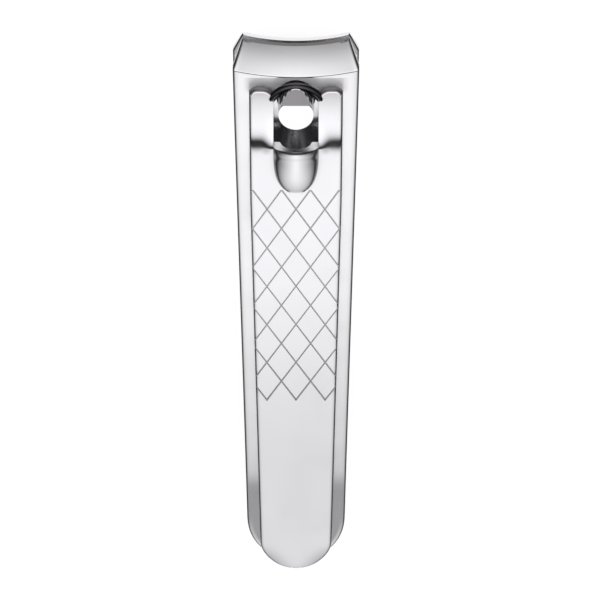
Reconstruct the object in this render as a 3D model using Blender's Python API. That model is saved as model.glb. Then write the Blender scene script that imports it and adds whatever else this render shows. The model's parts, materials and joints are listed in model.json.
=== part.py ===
"""Lever nail clipper: two sprung leaves with bent jaws, a turning pin and a folding lever.

The clipper lies on its lower leaf with the lever folded down on top. Its length runs along Y with the
jaws towards +Y, and the origin is below its middle. Sizes are in millimetres and become metres when a
mesh is made. Lengths along the body are first counted from the pin's axis, positive towards the jaws.
"""
import math

import bmesh
import bpy
from mathutils import Vector

MM = 0.001

# Leaves: two stamped strips, riveted at the tail and sprung apart at the jaws
LEAF_THICKNESS = 1.3
LEAF_FRONT_WIDTH = 12.6
LEAF_TAIL_WIDTH = 9.56
TAIL_REACH = 52.7
TAIL_ROUND = 4.7
TAIL_POWER = 2.3
CLAMPED_TAIL = 8.7
TAIL_GAP = 0.2
LEAF_SPREAD = 3.35

# Jaws: the leaf ends, bent towards each other along a curved crease and ground to an edge
CREASE_MARGIN = 0.35
JAW_LENGTH = 2.4
JAW_TAPER = 0.95
EDGE_RADIUS = 22.0
CREASE_RADIUS = 28.0
BOW_START = 6.2
EDGE_FACE = 0.75
JAW_OPENING = 0.55
INNER_CREASE_SETBACK = 0.55

# Pin: a turned post with a foot flange below the leaves and a notch that holds the crossbar
PIN_RADIUS = 1.75
PIN_CLEARANCE = 0.2
FOOT_OVERHANG = 1.35
FOOT_HEIGHT = 0.8
FOOT_GAP = 0.1
PIN_HEAD_HEIGHT = 2.45
PIN_TOP_CHAMFER = 0.15
FRONT_FACET = 0.9

# Tail rivet
RIVET_SETBACK = 5.5
RIVET_RADIUS = 0.8
RIVET_HEAD_RADIUS = 1.5
RIVET_HEAD_HEIGHT = 0.3
RIVET_CLEARANCE = 0.12

# Lever: one stamped sheet with two front lobes, a crossbar, a raised fulcrum and a long grip
LEVER_THICKNESS = 1.0
LEVER_FRONT_MARGIN = 1.63
LEVER_WAIST_MARGIN = 1.75
LEVER_TIP_MARGIN = 1.2
LEVER_WAIST_REACH = 10.4
LEVER_OVERHANG = 0.7
LEVER_TIP_RADIUS = 3.5
LEVER_CORNER_RADIUS = 0.5
TIP_ROUNDING = 2.3
TIP_DROP = 0.8
TIP_LIFT = 0.35
LOBE_GAP = 0.08
LOBE_SETBACK = 0.2
KNEE_REACH = 3.3
KNEE_HEIGHT = 1.8
WINDOW_CLEARANCE = 0.5
WINDOW_SETBACK = 0.65
CROSSBAR_RADIUS = 0.45
CROSSBAR_SEAT = 0.15
CROSSBAR_SIDE_BEND = 0.85
CROSSBAR_CLEARANCE = 0.25
FULCRUM_HEIGHT = 1.4
FULCRUM_LENGTH = 5.4
FULCRUM_WALL = 0.7
FULCRUM_SINK = 0.1
FULCRUM_INSET = 0.05

# Places that follow from the sizes above
PIN_HOLE_RADIUS = PIN_RADIUS + PIN_CLEARANCE
CREASE_REACH = PIN_HOLE_RADIUS + CREASE_MARGIN
EDGE_REACH = CREASE_REACH + JAW_LENGTH
EDGE_WIDTH = LEAF_FRONT_WIDTH - 2 * JAW_TAPER
SPRING_REACH = TAIL_REACH - CLAMPED_TAIL
RIVET_REACH = TAIL_REACH - RIVET_SETBACK
LEVER_TIP_REACH = TAIL_REACH + LEVER_OVERHANG
LEVER_FRONT_WIDTH = LEAF_FRONT_WIDTH - 2 * LEVER_FRONT_MARGIN
LEVER_WAIST_WIDTH = LEAF_FRONT_WIDTH - 2 * LEVER_WAIST_MARGIN
LEVER_TIP_WIDTH = LEAF_TAIL_WIDTH - 2 * LEVER_TIP_MARGIN


def sagitta(radius, half_chord):
    """Depth of a circular arc of this radius over half of its chord."""
    return radius - math.sqrt(radius ** 2 - half_chord ** 2)


JAW_CORNER_REACH = EDGE_REACH + sagitta(EDGE_RADIUS, EDGE_WIDTH / 2)
PIN_Y = (LEVER_TIP_REACH - JAW_CORNER_REACH) / 2

LOWER_TAIL_Z = RIVET_HEAD_HEIGHT + RIVET_CLEARANCE
LOWER_FRONT_Z = FOOT_HEIGHT + FOOT_GAP
UPPER_TAIL_Z = LOWER_TAIL_Z + LEAF_THICKNESS + TAIL_GAP
UPPER_FRONT_Z = LOWER_FRONT_Z + LEAF_THICKNESS + LEAF_SPREAD
UPPER_SLOPE = (UPPER_FRONT_Z - UPPER_TAIL_Z) / SPRING_REACH
CREST_Z = UPPER_FRONT_Z + LEAF_THICKNESS + UPPER_SLOPE * CREASE_REACH
EDGE_MIDDLE_Z = LOWER_FRONT_Z + LEAF_THICKNESS + LEAF_SPREAD / 2

CROSSBAR_REACH = PIN_RADIUS - CROSSBAR_SEAT
LOBE_REACH = CROSSBAR_REACH - LOBE_SETBACK
LOBE_BOTTOM_Z = CREST_Z + LOBE_GAP
CROSSBAR_Z = LOBE_BOTTOM_Z + 0.85 * LEVER_THICKNESS
KNEE_Z = LOBE_BOTTOM_Z + LEVER_THICKNESS + KNEE_HEIGHT
WINDOW_HALF_WIDTH = PIN_RADIUS + WINDOW_CLEARANCE
WINDOW_REACH = KNEE_REACH + WINDOW_SETBACK
CROSSBAR_BEND = WINDOW_HALF_WIDTH + CROSSBAR_SIDE_BEND
TIP_UNDER_Z = UPPER_TAIL_Z + LEAF_THICKNESS + TIP_LIFT
ARM_SLOPE = (KNEE_Z - LEVER_THICKNESS - TIP_UNDER_Z) / (LEVER_TIP_REACH - KNEE_REACH)
PIN_TOP_Z = CROSSBAR_Z + CROSSBAR_RADIUS + CROSSBAR_CLEARANCE + PIN_HEAD_HEIGHT


# ---------------------------------------------------------------- helpers

def clear_scene():
    for item in list(bpy.data.objects):
        bpy.data.objects.remove(item, do_unlink=True)


def steel(name, colour, roughness):
    """A metallic Principled material."""
    material = bpy.data.materials.new(name)
    material.use_nodes = True
    shader = material.node_tree.nodes["Principled BSDF"]
    shader.inputs["Base Color"].default_value = (*colour, 1.0)
    shader.inputs["Roughness"].default_value = roughness
    shader.inputs["Metallic"].default_value = 1.0
    return material


def add_object(name, mesh_data, material=None):
    """Turn a bmesh into a linked object with outward faces."""
    bmesh.ops.recalc_face_normals(mesh_data, faces=mesh_data.faces[:])
    mesh = bpy.data.meshes.new(name)
    mesh_data.to_mesh(mesh)
    mesh_data.free()
    item = bpy.data.objects.new(name, mesh)
    bpy.context.collection.objects.link(item)
    if material:
        mesh.materials.append(material)
    return item


def place(x, reach, z):
    """World point in metres from a distance ahead of the pin and a height in millimetres."""
    return Vector((x, PIN_Y + reach, z)) * MM


def loft(name, rings, material=None):
    """Closed body through rings of equal length, capped at both ends."""
    mesh_data = bmesh.new()
    rows = [[mesh_data.verts.new(place(*point)) for point in ring] for ring in rings]
    count = len(rows[0])
    for near, far in zip(rows, rows[1:]):
        for i in range(count):
            j = (i + 1) % count
            mesh_data.faces.new((near[i], near[j], far[j], far[i]))
    mesh_data.faces.new(rows[0])
    mesh_data.faces.new(list(reversed(rows[-1])))
    bmesh.ops.triangulate(mesh_data, faces=[face for face in mesh_data.faces if len(face.verts) == 4])
    return add_object(name, mesh_data, material)


def turned(name, profile, reach, segments, material=None):
    """Round body about a vertical axis, from (radius, height) points listed upwards."""
    rings = []
    for radius, z in profile:
        turns = [2 * math.pi * (i + 0.5) / segments for i in range(segments)]
        rings.append([(radius * math.cos(a), reach + radius * math.sin(a), z) for a in turns])
    return loft(name, rings, material)


def box(name, low, high):
    """Cutter block between two corners (x, reach, z)."""
    rings = []
    for z in (low[2], high[2]):
        rings.append([(low[0], low[1], z), (high[0], low[1], z), (high[0], high[1], z), (low[0], high[1], z)])
    return loft(name, rings)


def combine(target, tool, operation):
    """Join the tool to the target, or cut it away, and remove the tool."""
    modifier = target.modifiers.new(operation.lower(), "BOOLEAN")
    modifier.object = tool
    modifier.operation = operation
    bpy.context.view_layer.objects.active = target
    bpy.ops.object.modifier_apply(modifier=modifier.name)
    bpy.data.objects.remove(tool, do_unlink=True)


def mix(start, end, share):
    return start + (end - start) * share


def along(reach, points):
    """Height at this reach on a line through (reach, height) points listed from the tail forwards."""
    for (near, low), (far, high) in zip(points, points[1:]):
        if reach <= far:
            return mix(low, high, (reach - near) / (far - near))
    return points[-1][1]


def set_origin(item, point):
    """Move an object's origin to a world point and leave its surface where it is."""
    for vertex in item.data.vertices:
        vertex.co -= point
    item.location = point


# ---------------------------------------------------------------- leaves

def leaf_half_width(reach):
    """Half the leaf's width: a straight taper, a tapered jaw and a superellipse tail."""
    if reach >= CREASE_REACH:
        share = (reach - CREASE_REACH) / JAW_LENGTH
        return mix(LEAF_FRONT_WIDTH, EDGE_WIDTH, share) / 2
    taper = (CREASE_REACH - reach) / (CREASE_REACH + TAIL_REACH)
    side = mix(LEAF_FRONT_WIDTH, LEAF_TAIL_WIDTH, taper) / 2
    into = (TAIL_ROUND - TAIL_REACH - reach) / TAIL_ROUND
    if into <= 0:
        return side
    return side * (1 - into ** TAIL_POWER) ** (1 / TAIL_POWER)


def leaf_rows():
    """Reaches of the leaf's cross sections, from the tail forwards."""
    tail = [TAIL_ROUND * (1 - math.sin(math.radians(a))) - TAIL_REACH for a in range(84, 0, -12)]
    body = [mix(-SPRING_REACH, CREASE_REACH - INNER_CREASE_SETBACK, share / 4) for share in range(5)]
    jaw = [mix(CREASE_REACH, EDGE_REACH, share / 3) for share in range(4)]
    return tail + body + jaw


def jaw_bow(reach, x):
    """How far a point beside the middle line moves forwards, so that crease and edge are arcs."""
    if reach <= -BOW_START:
        return 0.0
    share = min((reach + BOW_START) / (CREASE_REACH + BOW_START), 1.0)
    nose = max((reach - CREASE_REACH) / JAW_LENGTH, 0.0)
    return share ** 2 * mix(sagitta(CREASE_RADIUS, x), sagitta(EDGE_RADIUS, x), nose)


def leaf(name, under, over, material):
    """Sprung leaf between two height lines, with holes for the pin and the tail rivet."""
    columns = [i / 4 for i in range(-4, 5)]
    rings = []
    for reach in leaf_rows():
        xs = [leaf_half_width(reach) * share for share in columns]
        top = [(x, reach + jaw_bow(reach, x), along(reach, over)) for x in xs]
        low = [(x, reach + jaw_bow(reach, x), along(reach, under)) for x in reversed(xs)]
        rings.append(top + low)
    item = loft(name, rings, material)
    pin_hole = turned("hole", [(PIN_HOLE_RADIUS, z) for z in (-1.0, CREST_Z + 1.0)], 0.0, 32)
    combine(item, pin_hole, "DIFFERENCE")
    rivet_hole_radius = RIVET_RADIUS + RIVET_CLEARANCE
    rivet_hole = turned("hole", [(rivet_hole_radius, z) for z in (-1.0, CREST_Z)], -RIVET_REACH, 20)
    combine(item, rivet_hole, "DIFFERENCE")
    return item


def build_lower_leaf(material):
    inner_crease = CREASE_REACH - INNER_CREASE_SETBACK
    edge_z = EDGE_MIDDLE_Z - JAW_OPENING / 2
    under = [(-TAIL_REACH, LOWER_TAIL_Z), (-SPRING_REACH, LOWER_TAIL_Z),
             (CREASE_REACH, LOWER_FRONT_Z), (EDGE_REACH, edge_z - EDGE_FACE)]
    over = [(-TAIL_REACH, LOWER_TAIL_Z + LEAF_THICKNESS), (-SPRING_REACH, LOWER_TAIL_Z + LEAF_THICKNESS),
            (inner_crease, LOWER_FRONT_Z + LEAF_THICKNESS), (EDGE_REACH, edge_z)]
    return leaf("lower_leaf", under, over, material)


def build_upper_leaf(material):
    inner_crease = CREASE_REACH - INNER_CREASE_SETBACK
    inner_z = UPPER_FRONT_Z + UPPER_SLOPE * inner_crease
    edge_z = EDGE_MIDDLE_Z + JAW_OPENING / 2
    under = [(-TAIL_REACH, UPPER_TAIL_Z), (-SPRING_REACH, UPPER_TAIL_Z),
             (inner_crease, inner_z), (EDGE_REACH, edge_z)]
    over = [(-TAIL_REACH, UPPER_TAIL_Z + LEAF_THICKNESS), (-SPRING_REACH, UPPER_TAIL_Z + LEAF_THICKNESS),
            (CREASE_REACH, CREST_Z), (EDGE_REACH, edge_z + EDGE_FACE)]
    item = leaf("upper_leaf", under, over, material)
    set_origin(item, place(0, -SPRING_REACH, UPPER_TAIL_Z))
    return item


def build_tail_rivet(material):
    """Headed rivet through both leaves, with a flat foot that the clipper rests on."""
    top = UPPER_TAIL_Z + LEAF_THICKNESS + RIVET_CLEARANCE
    profile = [(RIVET_HEAD_RADIUS, 0.0), (RIVET_HEAD_RADIUS, RIVET_HEAD_HEIGHT),
               (RIVET_RADIUS, RIVET_HEAD_HEIGHT), (RIVET_RADIUS, top),
               (RIVET_HEAD_RADIUS, top), (0.7 * RIVET_HEAD_RADIUS, top + RIVET_HEAD_HEIGHT)]
    item = turned("tail_rivet", profile, -RIVET_REACH, 20, material)
    set_origin(item, place(0, -RIVET_REACH, 0))
    return item


# ---------------------------------------------------------------- pin

def build_pivot_pin(material):
    """Post with a foot flange, a notch for the crossbar and a slanted front on its head."""
    foot_radius = PIN_RADIUS + FOOT_OVERHANG
    profile = [(foot_radius, 0.0), (foot_radius, FOOT_HEIGHT), (PIN_RADIUS, FOOT_HEIGHT),
               (PIN_RADIUS, PIN_TOP_Z - PIN_TOP_CHAMFER), (PIN_RADIUS - PIN_TOP_CHAMFER, PIN_TOP_Z)]
    item = turned("pivot_pin", profile, 0.0, 32, material)
    half_notch = CROSSBAR_RADIUS + CROSSBAR_CLEARANCE
    bend_drop = sagitta(CROSSBAR_BEND, PIN_RADIUS)
    notch_back = CROSSBAR_REACH - bend_drop - CROSSBAR_RADIUS - CROSSBAR_CLEARANCE / 3
    low = (-2 * PIN_RADIUS, notch_back, CROSSBAR_Z - half_notch)
    high = (2 * PIN_RADIUS, 2 * PIN_RADIUS, CROSSBAR_Z + half_notch)
    combine(item, box("notch", low, high), "DIFFERENCE")
    facet_foot_z = CROSSBAR_Z + half_notch + PIN_TOP_CHAMFER
    wedge = []
    for x in (-2 * PIN_RADIUS, 2 * PIN_RADIUS):
        wedge.append([(x, PIN_RADIUS - FRONT_FACET, PIN_TOP_Z), (x, PIN_RADIUS, facet_foot_z),
                      (x, 2 * PIN_RADIUS, facet_foot_z), (x, 2 * PIN_RADIUS, PIN_TOP_Z + 1.0),
                      (x, PIN_RADIUS - FRONT_FACET, PIN_TOP_Z + 1.0)])
    combine(item, loft("facet", wedge), "DIFFERENCE")
    set_origin(item, place(0, 0, 0))
    return item


# ---------------------------------------------------------------- lever

def lever_half_width(reach):
    """Half the lever's width: rounded front corners, a slow taper and a round tip."""
    if reach > LOBE_REACH - LEVER_CORNER_RADIUS:
        ahead = reach - (LOBE_REACH - LEVER_CORNER_RADIUS)
        return LEVER_FRONT_WIDTH / 2 - sagitta(LEVER_CORNER_RADIUS, min(ahead, LEVER_CORNER_RADIUS))
    if reach > -LEVER_WAIST_REACH:
        share = (LOBE_REACH - reach) / (LOBE_REACH + LEVER_WAIST_REACH)
        return mix(LEVER_FRONT_WIDTH, LEVER_WAIST_WIDTH, share) / 2
    tip_centre = LEVER_TIP_RADIUS - LEVER_TIP_REACH
    share = (-LEVER_WAIST_REACH - reach) / (-LEVER_WAIST_REACH - tip_centre)
    side = mix(LEVER_WAIST_WIDTH, LEVER_TIP_WIDTH, min(share, 1.0)) / 2
    if reach >= tip_centre:
        return side
    return side * math.sqrt(max(1 - ((tip_centre - reach) / LEVER_TIP_RADIUS) ** 2, 0))


def lever_top(reach):
    """Height of the lever's upper surface along its middle."""
    if reach > -KNEE_REACH:
        share = (LOBE_REACH - reach) / (LOBE_REACH + KNEE_REACH)
        return mix(LOBE_BOTTOM_Z + LEVER_THICKNESS, KNEE_Z, share)
    return KNEE_Z - ARM_SLOPE * (-KNEE_REACH - reach)


def tip_drop(reach):
    """How far the rounded tip falls below the arm's straight line."""
    into = max(TIP_ROUNDING - LEVER_TIP_REACH - reach, 0.0) / TIP_ROUNDING
    return TIP_DROP * (1 - math.sqrt(max(1 - into ** 2, 0)))


def lever_rows():
    """Reaches of the lever's cross sections, from the tip forwards."""
    tip = [LEVER_TIP_RADIUS * (1 - math.sin(math.radians(a))) - LEVER_TIP_REACH for a in range(80, 0, -10)]
    arm = [LEVER_TIP_RADIUS - LEVER_TIP_REACH, -2 * LEVER_WAIST_REACH, -LEVER_WAIST_REACH, -KNEE_REACH]
    corner = [LOBE_REACH - LEVER_CORNER_RADIUS * share for share in (1.0, 0.5, 0.15, 0.0)]
    return tip + arm + corner


def arch_rings(reaches, half_width, height, floor_z):
    """Rings of a domed body: a half ellipse over the lever's surface, closed straight down."""
    rings = []
    for reach in reaches:
        share = (-WINDOW_REACH - reach) / FULCRUM_LENGTH
        width = half_width * math.sqrt(max(1 - max(share, 0) ** 3, 0.01))
        rise = height * (1 - max(share, 0) ** 1.5)
        base = lever_top(min(reach, -KNEE_REACH)) - FULCRUM_SINK
        turns = [math.pi * i / 12 for i in range(13)]
        arch = [(width * math.cos(a), reach, base + rise * math.sin(a)) for a in turns]
        rings.append(arch + [(-width, reach, base + floor_z), (width, reach, base + floor_z)])
    return rings


def build_lever(material):
    """Stamped lever: sheet, pushed-up fulcrum, window and a crossbar between the lobes."""
    rings = []
    for reach in lever_rows():
        half = lever_half_width(reach)
        top = lever_top(reach)
        xs = (half, half / 2, 0, -half / 2, -half)
        over = [(x, reach, top - tip_drop(reach)) for x in xs]
        under = [(x, reach, top - LEVER_THICKNESS) for x in reversed(xs)]
        rings.append(over + under)
    item = loft("lever", rings, material)

    reaches = [-WINDOW_REACH - FULCRUM_LENGTH * share / 8 for share in range(9)]
    reaches[0] = -WINDOW_REACH + FULCRUM_WALL
    half_width = WINDOW_HALF_WIDTH - FULCRUM_INSET
    height = FULCRUM_HEIGHT + FULCRUM_SINK
    dome = loft("fulcrum", arch_rings(reaches, half_width, height, -0.5 * LEVER_THICKNESS))
    combine(item, dome, "UNION")
    ahead = [reach + FULCRUM_WALL for reach in reaches]
    half_width -= FULCRUM_WALL
    height -= FULCRUM_WALL
    hollow = loft("hollow", arch_rings(ahead, half_width, height, -2 * LEVER_THICKNESS))
    combine(item, hollow, "DIFFERENCE")

    low = (-WINDOW_HALF_WIDTH, -WINDOW_REACH, LOBE_BOTTOM_Z - 1.0)
    high = (WINDOW_HALF_WIDTH, LOBE_REACH + 1.0, KNEE_Z + FULCRUM_HEIGHT + 1.0)
    combine(item, box("window", low, high), "DIFFERENCE")
    combine(item, crossbar(), "UNION")
    set_origin(item, place(0, CROSSBAR_REACH, CROSSBAR_Z))
    return item


def crossbar():
    """Round bar bent forwards between the lobes, with its ends inside them."""
    end_angle = math.asin((WINDOW_HALF_WIDTH + CROSSBAR_RADIUS) / CROSSBAR_BEND)
    rings = []
    for i in range(-5, 6):
        bend = end_angle * i / 5
        ring = []
        for k in range(12):
            turn = 2 * math.pi * k / 12
            out = CROSSBAR_BEND + CROSSBAR_RADIUS * math.cos(turn)
            reach = CROSSBAR_REACH - CROSSBAR_BEND + out * math.cos(bend)
            ring.append((out * math.sin(bend), reach, CROSSBAR_Z + CROSSBAR_RADIUS * math.sin(turn)))
        rings.append(ring)
    return loft("crossbar", rings)


# ---------------------------------------------------------------- assembly

def parent_to_joint(child, name, parent):
    """Empty at the child's origin, so that the child turns about its joint."""
    joint = bpy.data.objects.new(name, None)
    joint.location = child.location
    joint.empty_display_size = 0.005
    bpy.context.collection.objects.link(joint)
    child.location = (0, 0, 0)
    child.parent = joint
    if parent:
        joint.location -= parent.location
        joint.parent = parent
    return joint


def build():
    clear_scene()
    satin = steel("satin_steel", (0.80, 0.80, 0.81), 0.22)
    bright = steel("bright_steel", (0.84, 0.84, 0.85), 0.12)
    build_lower_leaf(satin)
    upper = build_upper_leaf(satin)
    build_tail_rivet(bright)
    pin = build_pivot_pin(bright)
    lever = build_lever(satin)
    parent_to_joint(upper, "jaw_joint", None)
    pin_joint = parent_to_joint(pin, "pin_joint", None)
    parent_to_joint(lever, "lever_joint", pin_joint)


build()
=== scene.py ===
# %% [markdown]
# # A lever nail clipper in polished steel
# This file dresses a finished CAD model of a pocket nail clipper. The CAD model says where every piece
# is and how it moves, so it is loaded first and never changed. Everything after this cell makes finer
# pieces around it, gives them steel that looks like steel, and lights them.

# %% Load the frame
import json
import math

import bmesh
import bpy
from mathutils import Matrix, Vector


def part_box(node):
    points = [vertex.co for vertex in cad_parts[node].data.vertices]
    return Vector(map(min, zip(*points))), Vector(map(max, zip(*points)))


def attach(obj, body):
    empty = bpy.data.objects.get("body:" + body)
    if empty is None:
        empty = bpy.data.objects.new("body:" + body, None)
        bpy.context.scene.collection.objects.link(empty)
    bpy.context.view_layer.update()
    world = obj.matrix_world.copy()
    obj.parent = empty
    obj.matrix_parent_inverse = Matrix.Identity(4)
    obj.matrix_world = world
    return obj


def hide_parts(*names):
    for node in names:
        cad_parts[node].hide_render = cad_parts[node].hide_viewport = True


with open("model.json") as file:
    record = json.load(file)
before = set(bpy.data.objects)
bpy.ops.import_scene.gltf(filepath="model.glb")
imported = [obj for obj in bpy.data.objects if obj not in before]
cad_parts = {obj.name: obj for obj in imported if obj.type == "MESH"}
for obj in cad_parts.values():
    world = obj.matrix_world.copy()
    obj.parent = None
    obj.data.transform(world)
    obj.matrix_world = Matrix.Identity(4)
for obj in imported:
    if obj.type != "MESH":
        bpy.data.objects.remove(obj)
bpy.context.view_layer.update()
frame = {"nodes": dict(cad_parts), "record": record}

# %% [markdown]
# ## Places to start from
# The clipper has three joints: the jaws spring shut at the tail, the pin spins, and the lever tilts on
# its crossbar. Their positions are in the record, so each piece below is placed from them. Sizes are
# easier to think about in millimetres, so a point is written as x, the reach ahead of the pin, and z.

MM = 0.001
joints = {item["name"]: Vector(item["pos_m"]) / MM for item in frame["record"]["behaviour"]["joints"]}
pin_y = joints["pin_spin"].y
bar_reach = joints["lever_tilt"].y - pin_y
bar_z = joints["lever_tilt"].z
spring_reach = joints["jaw_close"].y - pin_y
boxes = {name: [Vector(corner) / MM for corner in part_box(name)] for name in frame["nodes"]}


def place(x, reach, z):
    """World point in metres of a place given in millimetres from the pin's axis."""
    return Vector((x, pin_y + reach, z)) * MM


print("pin at", round(pin_y, 2), "mm, crossbar", round(bar_reach, 2), "mm ahead of it and",
      round(bar_z, 2), "mm up")

# %% [markdown]
# ## The camera
# A small tool is best seen from far away through a long lens, so that near and far parts keep the
# same scale. The camera stands over the clipper and leans 25 degrees towards the jaws, and the length
# of the body runs up the view.

# %% Set up the camera
LENS = 1400
SENSOR = 36
FIELD = 60.0 * MM
LEAN = math.radians(25)
target = Vector((0.4, 0.9, 5.0)) * MM
away = Vector((0, math.sin(LEAN), math.cos(LEAN)))

camera_data = bpy.data.cameras.new("camera")
camera_data.lens = LENS
camera_data.sensor_width = SENSOR
camera_data.clip_start = 10 * MM
camera = bpy.data.objects.new("camera", camera_data)
camera.location = target + away * FIELD * LENS / SENSOR
camera.rotation_euler = (-LEAN, 0, 0)
bpy.context.collection.objects.link(camera)
bpy.context.scene.camera = camera
bpy.context.scene.view_settings.view_transform = "Standard"
print("camera", round((camera.location - target).length, 3), "m from the clipper")

# %% [markdown]
# ## The light
# Polished steel has hardly any colour of its own: it shows what stands around it. A studio puts one
# wide softbox behind the tool and one in front, and the camera looks through the dark gap between
# them. That gap is what draws the black band on the lever's knee. Here the sky is that studio: its
# brightness follows the pitch of a ray, from the back horizon over the top to the front horizon, and
# it fades towards the sides, which draws thin dark lines along the round rims. Only mirror-like rays
# see the softboxes. All other rays get even white light, so the floor stays clean and the shadows
# stay soft.

# %% Build the studio sky
SKY_STRENGTH = 1.16
SKY_SPAN = 200
FADE_START = 0.04
FADE_END = 0.84
SIDE_LIGHT = 0.05
EVEN_LIGHT = (0.93, 0.93, 0.94, 1)
SKY_STOPS = (
    (-95, 0.15), (-84, 0.70), (-74, 0.95), (-62, 1.0), (-40, 1.0), (-34, 1.03), (-31, 0.93), (-28, 0.64),
    (-25, 0.33), (-21, 0.03), (-4, 0.015), (0, 0.12), (4, 0.40), (8, 0.70), (13, 1.0), (18, 1.25),
    (26, 1.2), (34, 1.05), (50, 1.0), (54, 0.95), (58, 0.80), (62, 0.56), (66, 0.36), (75, 0.26), (90, 0.10),
)

world = bpy.data.worlds.new("studio")
bpy.context.scene.world = world
world.use_nodes = True
sky = world.node_tree
sky.nodes.clear()


def add(tree, kind, **settings):
    """New node in a tree, with settings for its properties and numbered or named inputs."""
    node = tree.nodes.new(kind)
    for key, value in settings.items():
        if key.startswith("in_"):
            name = key[3:]
            node.inputs[int(name) if name.isdigit() else name.replace("_", " ")].default_value = value
        else:
            setattr(node, key, value)
    return node


def link(tree, start, end):
    tree.links.new(start, end)


def math_node(tree, operation, first, second=None):
    """Math node whose inputs are sockets or numbers."""
    node = add(tree, "ShaderNodeMath", operation=operation)
    for socket, value in zip(node.inputs, (first, second)):
        if isinstance(value, (int, float)):
            socket.default_value = value
        elif value is not None:
            link(tree, value, socket)
    return node.outputs[0]


direction = add(sky, "ShaderNodeTexCoord")
parts = add(sky, "ShaderNodeSeparateXYZ")
link(sky, direction.outputs["Generated"], parts.inputs[0])
pitch = math_node(sky, "ARCTAN2", parts.outputs["Y"], parts.outputs["Z"])
pitch_share = math_node(sky, "MULTIPLY_ADD", pitch, 180 / (SKY_SPAN * math.pi))
pitch_share.node.inputs[2].default_value = 0.5
softboxes = add(sky, "ShaderNodeValToRGB")
link(sky, pitch_share, softboxes.inputs[0])
stops = softboxes.color_ramp.elements
for _ in range(len(SKY_STOPS) - 2):
    stops.new(0.5)
for stop, (angle, value) in zip(stops, SKY_STOPS):
    stop.position = angle / SKY_SPAN + 0.5
    stop.color = (value, value, value * 1.01, 1)
side = math_node(sky, "ABSOLUTE", parts.outputs["X"])
fade = add(sky, "ShaderNodeMapRange", in_1=FADE_START, in_2=FADE_END, in_3=1.0, in_4=SIDE_LIGHT)
link(sky, side, fade.inputs[0])
boxed = add(sky, "ShaderNodeMix", data_type="RGBA", blend_type="MULTIPLY", in_0=1.0)
link(sky, softboxes.outputs[0], boxed.inputs["A"])
link(sky, fade.outputs[0], boxed.inputs["B"])
ray = add(sky, "ShaderNodeLightPath")
seen = add(sky, "ShaderNodeMix", data_type="RGBA")
seen.inputs["A"].default_value = EVEN_LIGHT
link(sky, ray.outputs["Is Glossy Ray"], seen.inputs["Factor"])
link(sky, boxed.outputs["Result"], seen.inputs["B"])
glow = add(sky, "ShaderNodeBackground", in_Strength=SKY_STRENGTH)
link(sky, seen.outputs["Result"], glow.inputs["Color"])
out = add(sky, "ShaderNodeOutputWorld")
link(sky, glow.outputs[0], out.inputs[0])
print("sky with", len(stops), "stops")

# %% [markdown]
# ## Working by hand, in code
# Blender's edit-mode operators act on whatever is selected. The frame comes in with everything
# selected, so each step starts from nothing selected, and then picks its faces or edges by where they
# are. Each modifier is applied at once, so that the next step works on plain mesh.

# %% Helpers for selecting and finishing


def select_only(item):
    bpy.ops.object.select_all(action="DESELECT")
    item.select_set(True)
    bpy.context.view_layer.objects.active = item


def edges_where(item, test):
    """Enter edit mode with only the edges that pass the test selected."""
    select_only(item)
    bpy.ops.object.mode_set(mode="EDIT")
    bpy.ops.mesh.select_mode(type="EDGE")
    bpy.ops.mesh.select_all(action="DESELECT")
    mesh = bmesh.from_edit_mesh(item.data)
    for edge in mesh.edges:
        edge.select_set(test(edge))
    bmesh.update_edit_mesh(item.data)


def leave_edit():
    bpy.ops.object.mode_set(mode="OBJECT")


def apply_modifier(item, kind, **settings):
    select_only(item)
    modifier = item.modifiers.new(kind.lower(), kind)
    for key, value in settings.items():
        setattr(modifier, key, value)
    bpy.ops.object.modifier_apply(modifier=modifier.name)


def combine(item, tool, operation, **settings):
    """Boolean with another object, which is used up."""
    apply_modifier(item, "BOOLEAN", object=tool, operation=operation, **settings)
    bpy.data.objects.remove(tool, do_unlink=True)


def mix(start, end, share):
    return start + (end - start) * share


def read_line(points, value):
    """Straight-line reading of a value between (place, reading) points."""
    for (near, low), (far, high) in zip(points, points[1:]):
        if value <= far:
            return mix(low, high, (value - near) / (far - near))
    return points[-1][1]


def sagitta(radius, half_chord):
    """Depth of a circular arc over half of its chord."""
    return radius - math.sqrt(radius ** 2 - half_chord ** 2)


# %% [markdown]
# ## Stamping a blank
# Leaves and lever start as flat strips of steel that a press cuts and bends. The script does the same.
# A flat grid is the blank, one extrusion gives it a second side, and then the press moves each point:
# a plan turns its place on the grid, from -1 to 1 across and 0 to 1 along, into x and reach, and a
# height rule bends the sheet. The factory then tumbles the pieces in a barrel of pebbles, which
# rounds their rims. A Bevel would do it on a simple shape, but round the narrow end of a tail the
# faces are smaller than the rim. So the walls of the blank are subdivided into rings, and the press
# lays those rings along a quarter circle, pushed out from the plan's own border.

# %% Make a stamped piece from a plan and a height rule
RIM_STEPS = 4
RINGS = 2 * RIM_STEPS + 1
RIM_TURN = 50
NUDGE = 1e-4


def outward(plan, across, along, sharp_front):
    """Direction out of the border at a point of it, mitred where two borders meet."""
    directions = []
    if abs(across) > 1 - NUDGE:
        near, far = plan(across, max(along - NUDGE, 0)), plan(across, min(along + NUDGE, 1))
        run = Vector((far[1] - near[1], near[0] - far[0])).normalized()
        directions.append(run * math.copysign(1, across))
    if along < NUDGE or (along > 1 - NUDGE and not sharp_front):
        near, far = plan(max(across - NUDGE, -1), along), plan(min(across + NUDGE, 1), along)
        run = Vector((near[1] - far[1], far[0] - near[0])).normalized()
        directions.append(run if along > 0.5 else -run)
    if len(directions) == 2:
        first, second = directions
        return (first + second) / max(1 + first.dot(second), 0.5)
    return directions[0] if directions else None


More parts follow.
